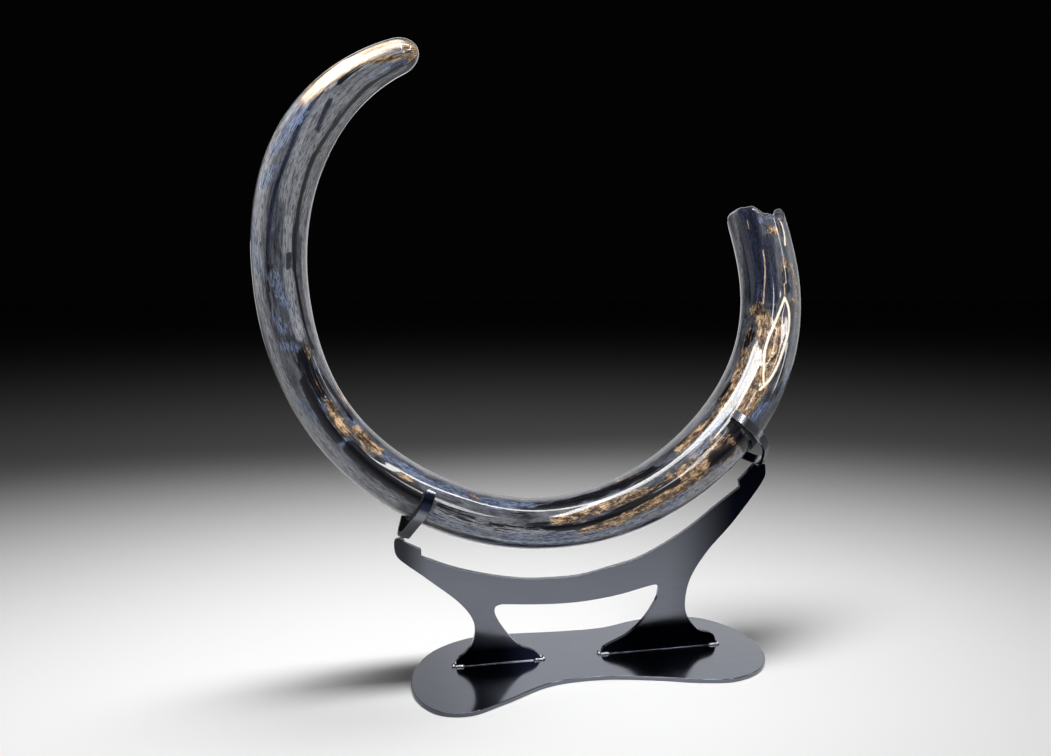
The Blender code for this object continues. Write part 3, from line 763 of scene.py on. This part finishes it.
class Nodes:
    """A short way to build a node material: each call adds one node and returns its output."""

    def __init__(self, name):
        self.material = bpy.data.materials.new(name)
        self.material.use_nodes = True
        self.tree = self.material.node_tree
        self.shader = self.tree.nodes["Principled BSDF"]

    def add(self, kind, inputs=None, **settings):
        node = self.tree.nodes.new(kind)
        for key, value in settings.items():
            setattr(node, key, value)
        for key, value in (inputs or {}).items():
            self.feed(node.inputs[key], value)
        return node

    def feed(self, socket, value):
        if isinstance(value, bpy.types.NodeSocket):
            self.tree.links.new(value, socket)
        else:
            socket.default_value = value

    def attribute(self, name, output="Fac"):
        return self.add("ShaderNodeAttribute", attribute_name=name).outputs[output]

    def objects(self):
        return self.add("ShaderNodeTexCoord").outputs["Object"]

    def stretch(self, vector, scale, offset=(0, 0, 0)):
        node = self.add("ShaderNodeMapping", {"Vector": vector, "Scale": scale, "Location": offset})
        return node.outputs["Vector"]

    def noise(self, vector, scale, detail=4.0, roughness=0.55, distortion=0.0):
        inputs = {"Vector": vector, "Scale": scale, "Detail": detail, "Roughness": roughness,
                  "Distortion": distortion}
        return self.add("ShaderNodeTexNoise", inputs).outputs["Fac"]

    def math(self, operation, a, b=0.0, c=0.0, clamp=False):
        node = self.add("ShaderNodeMath", {0: a, 1: b, 2: c}, operation=operation, use_clamp=clamp)
        return node.outputs[0]

    def span(self, value, low, high, to_low=0.0, to_high=1.0):
        inputs = {0: value, 1: low, 2: high, 3: to_low, 4: to_high}
        return self.add("ShaderNodeMapRange", inputs, interpolation_type="SMOOTHSTEP").outputs[0]

    def ramp(self, value, stops):
        node = self.add("ShaderNodeValToRGB", {"Fac": value})
        elements = node.color_ramp.elements
        while len(elements) < len(stops):
            elements.new(0.5)
        for element, (place, colour) in zip(elements, stops):
            element.position = place
            element.color = (*colour, 1.0)
        return node.outputs["Color"]

    def mix(self, factor, a, b):
        node = self.add("ShaderNodeMix", data_type="RGBA", blend_type="MIX")
        self.feed(node.inputs["Factor"], factor)
        sockets = [s for s in node.inputs if s.type == "RGBA"]
        for socket, value in zip(sockets, (a, b)):
            self.feed(socket, (*value, 1.0) if isinstance(value, tuple) and len(value) == 3 else value)
        return [s for s in node.outputs if s.type == "RGBA"][0]

    def bump(self, height, strength, distance):
        inputs = {"Height": height, "Strength": strength, "Distance": distance}
        return self.add("ShaderNodeBump", inputs).outputs["Normal"]

    def finish(self, **values):
        for key, value in values.items():
            self.feed(self.shader.inputs[key.replace("_", " ")], value)
        return self.material


def ivory():
    """Polished mineralised ivory: slate grey with blue, black and tan stains along its growth,
    with painted reflection on its lighter patches, a painted highlight on its pale lines and tip,
    and painted shadow beside the cradles.
    """
    n = Nodes("polished mammoth ivory")
    rod = n.attribute("straight", "Vector")
    mottle = n.noise(n.stretch(rod, (44, 44, 18)), 1.0, 7.0, 0.68, 0.8)
    cloud = n.noise(n.stretch(rod, (30, 30, 12), (3, 1, 4)), 1.0, 7.0, 0.68, 0.5)
    streak = n.noise(n.stretch(rod, (330, 330, 24), (1, 7, 2)), 1.0, 4.0, 0.6, 0.3)
    fine = n.noise(n.stretch(rod, (560, 560, 90), (5, 2, 9)), 1.0, 4.0, 0.65, 0.3)
    speckle = n.noise(n.stretch(rod, (380, 380, 210), (2, 8, 1)), 1.0, 3.0, 0.65, 0.5)

    grey = n.ramp(mottle, ((0.32, (0.014, 0.017, 0.026)), (0.45, (0.050, 0.053, 0.066)),
                           (0.58, (0.092, 0.097, 0.115)), (0.74, (0.160, 0.163, 0.172))))
    pale_grey = n.ramp(fine, ((0.36, (0.140, 0.147, 0.171)), (0.64, (0.360, 0.368, 0.395))))
    # Paler grey: painted reflection where the light strokes lie, and random pale tone from the cloud
    # noise.
    pale_tone_and_sheen_level = n.math("ADD", n.attribute("light"), n.math("MULTIPLY", cloud, 0.5))
    colour = n.mix(n.math("MULTIPLY", n.span(pale_tone_and_sheen_level, 0.45, 0.95), 0.75), grey, pale_grey)

    navy = n.ramp(speckle, ((0.38, (0.003, 0.005, 0.012)), (0.62, (0.020, 0.026, 0.055))))
    navy_level = n.math("ADD", n.attribute("navy"), n.math("MULTIPLY", mottle, 0.9))
    navy_level = n.math("ADD", navy_level, n.math("MULTIPLY", streak, 0.7))
    colour = n.mix(n.math("MULTIPLY", n.span(navy_level, 1.12, 1.42), 0.92), colour, navy)

    slate = n.ramp(fine, ((0.38, (0.022, 0.029, 0.060)), (0.50, (0.090, 0.117, 0.195)),
                          (0.62, (0.200, 0.250, 0.362))))
    # Paler blue where the light strokes lie: painted reflection.
    painted_sheen_slate = n.ramp(fine, ((0.38, (0.130, 0.165, 0.250)), (0.62, (0.400, 0.470, 0.600))))
    slate = n.mix(n.span(n.attribute("light"), 0.75, 1.0), slate, painted_sheen_slate)
    blue_level = n.math("ADD", n.math("MULTIPLY", cloud, 1.2), n.math("MULTIPLY", speckle, 0.6))
    blue_level = n.math("ADD", blue_level, n.math("MULTIPLY", n.attribute("blue"), 0.45))
    blue_amount = n.math("MULTIPLY", n.span(blue_level, 1.12, 1.27), 0.78)
    colour = n.mix(blue_amount, colour, slate)

    blotch = n.noise(n.stretch(rod, (120, 120, 40), (6, 3, 2)), 1.0, 8.0, 0.75, 0.2)
    tan_tone = n.math("ADD", n.math("MULTIPLY", blotch, 0.60), n.math("MULTIPLY", fine, 0.20))
    tan_tone = n.math("ADD", tan_tone, n.math("MULTIPLY", speckle, 0.20))
    tan_tone = n.math("ADD", tan_tone, n.math("MULTIPLY", n.attribute("tan"), 0.020))
    tan = n.ramp(tan_tone, ((0.44, (0.014, 0.009, 0.007)), (0.495, (0.085, 0.049, 0.028)),
                            (0.535, (0.290, 0.184, 0.098)), (0.60, (0.640, 0.450, 0.280))))
    tan_level = n.math("ADD", n.math("MULTIPLY", mottle, 1.2), n.math("MULTIPLY", speckle, 0.6))
    tan_level = n.math("ADD", tan_level, n.math("MULTIPLY", n.attribute("tan"), 0.50))
    tan_amount = n.math("MULTIPLY", n.span(tan_level, 1.16, 1.24), 0.92)
    colour = n.mix(tan_amount, colour, tan)

    # Black from streaks and the dark strokes: real cracks, and beside the cradles painted shadow and
    # dark reflection of the bars.
    black_level = n.math("ADD", n.math("MULTIPLY", streak, 0.7), n.math("MULTIPLY", mottle, 0.5))
    black_level = n.math("SUBTRACT", black_level, n.math("MULTIPLY", n.attribute("dark"), 0.42))
    black_amount = n.math("MULTIPLY", n.span(black_level, 0.46, 0.36), 0.94)
    crack_and_shadow_level = n.math("ADD", n.attribute("dark"), n.math("MULTIPLY", streak, 1.4))
    crack_and_shadow_level = n.math("ADD", crack_and_shadow_level, n.math("MULTIPLY", speckle, 0.6))
    black_amount = n.math("MAXIMUM", black_amount, n.span(crack_and_shadow_level, 1.62, 1.95))
    colour = n.mix(black_amount, colour, (0.002, 0.002, 0.004))
    comb_field = n.math("MULTIPLY_ADD", n.attribute("dark"), 0.5, 0.4, clamp=True)
    combs = n.math("MULTIPLY", n.span(streak, 0.49, 0.41), comb_field)
    colour = n.mix(combs, colour, (0.004, 0.004, 0.007))
    hairlines = n.math("MULTIPLY", n.span(fine, 0.46, 0.38), 0.60)
    colour = n.mix(hairlines, colour, (0.005, 0.005, 0.009))
    # Cream at the tip: paler ivory with a painted highlight over it.
    cream_level = n.math("ADD", n.attribute("cream_and_highlight"), n.math("MULTIPLY", streak, 1.2))
    cream_level = n.math("ADD", cream_level, n.math("MULTIPLY", speckle, 0.6))
    cream_tone = n.math("ADD", n.math("MULTIPLY", fine, 0.6),
                        n.math("MULTIPLY", n.attribute("cream_and_highlight"), 0.25))
    cream_and_highlight = n.ramp(cream_tone, ((0.40, (0.25, 0.160, 0.095)), (0.48, (0.46, 0.335, 0.225)),
                                (0.57, (0.68, 0.630, 0.56))))
    colour = n.mix(n.span(cream_level, 1.20, 1.60), colour, cream_and_highlight)
    # Pale lines: a painted highlight along the thin raised ridges.
    ridge_highlight_level = n.math("ADD", n.attribute("pale"), n.math("MULTIPLY", speckle, 0.5))
    line = n.ramp(ridge_highlight_level, ((0.55, (0.20, 0.125, 0.070)), (0.85, (0.44, 0.320, 0.210)),
                               (1.00, (0.78, 0.700, 0.58))))
    colour = n.mix(n.span(ridge_highlight_level, 0.40, 1.12), colour, line)
    cavity = n.ramp(streak, ((0.3, (0.010, 0.009, 0.007)), (0.7, (0.050, 0.041, 0.031))))
    colour = n.mix(n.attribute("outside"), cavity, colour)

    rough = n.span(streak, 0.3, 0.7, 0.22, 0.36)
    relief = n.math("ADD", n.math("MULTIPLY", streak, 0.8), n.math("MULTIPLY", fine, 0.4))
    normal = n.bump(relief, 0.30, 0.0005)
    return n.finish(Base_Color=colour, Roughness=rough, Normal=normal, Coat_Weight=1.0,
                    Coat_Roughness=0.03, Coat_IOR=1.4, Specular_IOR_Level=0.15)


JOINT_TOP = 0.0099


def plate_steel(name, upright):
    """Satin blue-black plate with faint rolling marks and a painted reflection: the base plate
    lighter away from its left end, the upright lighter in its middle and darker towards its feet,
    its right horn and its left end.
    """
    n = Nodes(name)
    place = n.objects()
    cloud = n.noise(place, 9.0, 5.0, 0.6)
    rolled = n.noise(n.stretch(place, (6, 120, 120)), 1.0, 4.0, 0.6)
    split = n.add("ShaderNodeSeparateXYZ", {0: place})
    x = split.outputs["X"]
    # Painted reflection: the base plate lighter away from its left end; the upright's is set below.
    pale = n.span(x, -0.36, -0.12, 0.38, 0.78)
    if upright:
        # On the upright the painted reflection is lighter in the middle and darker towards the feet,
        # the right horn and the left end.
        low_end = n.span(x, -0.15, 0.10, 0.034, 0.052)
        feet = n.span(n.math("SUBTRACT", split.outputs["Z"], low_end), 0.0, 0.036)
        horn = n.span(x, 0.31, 0.15)
        boss = n.span(x, -0.37, -0.31, 0.2, 1.0)
        pale = n.math("MULTIPLY", feet, n.math("MULTIPLY", horn, boss))
        pale = n.math("MULTIPLY", pale, 0.76)
    colour = n.mix(pale, (0.003, 0.004, 0.009), (0.225, 0.237, 0.275))
    colour = n.mix(n.math("MULTIPLY", rolled, 0.16), colour, (0.02, 0.022, 0.034))
    if upright:
        joint = n.span(split.outputs["Z"], JOINT_TOP, JOINT_TOP - 0.0006)
        colour = n.mix(joint, colour, (0.62, 0.64, 0.68))
    rough = n.span(cloud, 0.3, 0.7, 0.11, 0.16)
    return n.finish(Base_Color=colour, Metallic=1.0, Roughness=rough,
                    Normal=n.bump(rolled, 0.04, 0.0003))


def bar_steel():
    """Satin bar: grey near its foot, with a painted dark reflection along part of each arm and a
    painted highlight at the arms' ends.
    """
    n = Nodes("satin steel bar")
    grain = n.noise(n.stretch(n.objects(), (500, 120, 500)), 1.0, 4.0, 0.6)
    colour = n.ramp(n.attribute("painted_dark_reflection"), ((0.0, (0.24, 0.25, 0.28)), (1.0, (0.017, 0.022, 0.048))))
    colour = n.mix(n.math("MULTIPLY", grain, 0.3), colour, (0.05, 0.05, 0.06))
    colour = n.mix(n.attribute("painted_end_highlight"), colour, (0.62, 0.60, 0.57))
    return n.finish(Base_Color=colour, Metallic=1.0, Roughness=0.22,
                    Normal=n.bump(grain, 0.03, 0.0002))


def weld_steel():
    n = Nodes("bare weld")
    grain = n.noise(n.objects(), 900.0, 4.0, 0.6)
    colour = n.ramp(grain, ((0.3, (0.10, 0.10, 0.12)), (0.7, (0.50, 0.51, 0.54))))
    return n.finish(Base_Color=colour, Metallic=1.0, Roughness=0.28,
                    Normal=n.bump(grain, 0.2, 0.0002))


def liner():
    n = Nodes("black liner")
    fibre = n.noise(n.objects(), 1400.0, 3.0, 0.7)
    colour = n.ramp(fibre, ((0.3, (0.003, 0.003, 0.005)), (0.8, (0.012, 0.012, 0.016))))
    return n.finish(Base_Color=colour, Roughness=0.7, Normal=n.bump(fibre, 0.3, 0.0003))


# ------------------------------------------------- floor, light and camera

# The floor's one plain colour. It fades into the dark because its lamps fall off.
VIEW_AZIMUTH = math.radians(10.2)
FLOOR_GREY = 0.74


def studio_floor():
    size = 40.0
    bm = bmesh.new()
    corners = ((-size, -size), (size, -size), (size, size), (-size, size))
    bm.faces.new([bm.verts.new((x, y, 0.0)) for x, y in corners])
    mesh = bpy.data.meshes.new("studio_floor")
    bm.to_mesh(mesh)
    bm.free()
    floor = bpy.data.objects.new("studio_floor", mesh)
    bpy.context.scene.collection.objects.link(floor)
    n = Nodes("pale floor")
    colour = (FLOOR_GREY, FLOOR_GREY, FLOOR_GREY, 1.0)
    mesh.materials.append(n.finish(Base_Color=colour, Roughness=0.9, Specular_IOR_Level=0.1))
    return floor


def soft_box(name, start, end, width, target, radiance, only, spread_deg=180.0):
    """An evenly bright lamp from start to end, facing the target. The camera doesn't see it
    and it lights only the objects in one collection. A spread below 180 degrees narrows its
    beam, as a grid on a soft box does."""
    start, end, target = Vector(start), Vector(end), Vector(target)
    length_axis = (end - start).normalized()
    middle = (start + end) / 2
    facing = target - middle
    facing = (facing - facing.dot(length_axis) * length_axis).normalized()
    light = bpy.data.lights.new(name, "AREA")
    light.shape = "RECTANGLE"
    light.size = (end - start).length
    light.size_y = width
    light.energy = radiance * math.pi * light.size * light.size_y
    light.spread = math.radians(spread_deg)
    obj = bpy.data.objects.new(name, light)
    axes = Matrix((length_axis, -facing.cross(length_axis), -facing)).transposed()
    obj.location = middle
    obj.rotation_euler = axes.to_euler()
    bpy.context.scene.collection.objects.link(obj)
    obj.visible_camera = False
    obj.light_linking.receiver_collection = only


def studio_light(pieces, floor):
    world = bpy.data.worlds.new("studio")
    bpy.context.scene.world = world
    world.use_nodes = True
    world.node_tree.nodes["Background"].inputs["Color"].default_value = (0.001, 0.001, 0.001, 1)
    bpy.context.scene.view_settings.view_transform = "Standard"
    on_object = bpy.data.collections.new("lit by the soft boxes")
    for piece in pieces:
        on_object.objects.link(piece)
    on_floor = bpy.data.collections.new("lit by the floor lamps")
    on_floor.objects.link(floor)
    middle = (0.0, 0.0, 0.5)
    low = (0.0, 0.0, 0.3)
    for name, start, end, width, target, radiance in (
        ("overhead_strip", (-1.0, -0.85, 3.0), (1.4, -0.75, 3.0), 0.28, low, 24),
        ("overhead_left", (-1.0, -1.2, 3.0), (-0.4, -1.2, 3.0), 0.45, low, 18),
        ("left_arch", (-0.5, -1.0, 3.0), (0.0, -2.1, 2.1), 0.20, low, 24),
        ("front_panel", (0.40, -2.0, 0.9), (0.40, -2.0, 1.38), 0.34, low, 14),
        ("right_arch_low", (1.15, -2.0, 1.3), (1.75, -2.0, 2.3), 0.12, low, 24),
        ("right_arch_high", (1.75, -2.0, 2.3), (1.35, -0.8, 3.0), 0.20, low, 24),
        ("right_panel", (2.7, -0.95, 0.5), (2.7, -0.95, 1.3), 0.25, middle, 12),
        ("tip_box", (-0.95, -0.90, 1.5), (-0.95, 0.0, 1.5), 0.95, (-1.45, -0.45, 0.63), 7),
        ("back_wall", (-1.3, 3.2, 2.3), (3.0, 3.2, 2.3), 2.4, low, 1.2),
        ("back_low", (-2.95, 3.6, 0.6), (3.55, 3.6, 0.6), 0.9, middle, 0.8),
        ("left_side", (-3.0, -1.5, 1.0), (-3.0, 2.1, 1.0), 1.9, middle, 0.8),
        ("right_side", (3.2, -0.3, 1.0), (3.2, 2.7, 1.0), 1.9, middle, 0.8),
        ("front_wall", (-3.65, -4.2, 0.85), (2.85, -4.2, 0.85), 0.9, middle, 0.3),
    ):
        soft_box(name, start, end, width, target, radiance, on_object)
    for name, half_length, x, height, width, radiance, spread_deg in (
        ("floor_grid", 1.5, -0.3, 4.0, 0.6, 4.7, 55.0),
        ("floor_fill", 2.5, 0.0, 3.5, 3.0, 0.45, 180.0),
    ):
        soft_box(name, (x - half_length, 0.0, height), (x + half_length, 0.0, height), width,
                 (x, 0.0, 0.0), radiance, on_floor, spread_deg)


def photo_camera():
    """The photograph's own place, tilt and lens, in the frame's coordinates."""
    pitch = math.radians(6.8)
    focal_px = 760.0
    width_px = 1051.0
    camera = bpy.data.cameras.new("photo_camera")
    camera.sensor_width = 36.0
    camera.lens = 36.0 * focal_px / width_px
    obj = bpy.data.objects.new("photo_camera", camera)
    obj.location = Vector(DATUM) + Vector((-0.39, -1.41, 0.73))
    forward = Vector((math.sin(VIEW_AZIMUTH) * math.cos(pitch),
                      math.cos(VIEW_AZIMUTH) * math.cos(pitch), -math.sin(pitch)))
    obj.rotation_euler = forward.to_track_quat("-Z", "Y").to_euler()
    bpy.context.scene.collection.objects.link(obj)
    bpy.context.scene.camera = obj


def dress():
    """Builds every piece with its material and returns them."""
    axis = TuskAxis()
    bar = bar_steel()
    weld = weld_steel()
    black = liner()
    dressed = [(tusk(), ivory()), (foot_welds(), weld),
               (base_plate(), plate_steel("blackened base plate", False)),
               (upright_plate(), plate_steel("blackened upright plate", True))]
    for side, c in CRADLES.items():
        dressed += [(cradle(side, c), bar), (pin(side, c), weld), (pad(side, c, axis), black)]
    for piece, material in dressed:
        piece.data.materials.append(material)
    return [piece for piece, _ in dressed]


studio_light(dress(), studio_floor())
photo_camera()
bpy.context.view_layer.update()
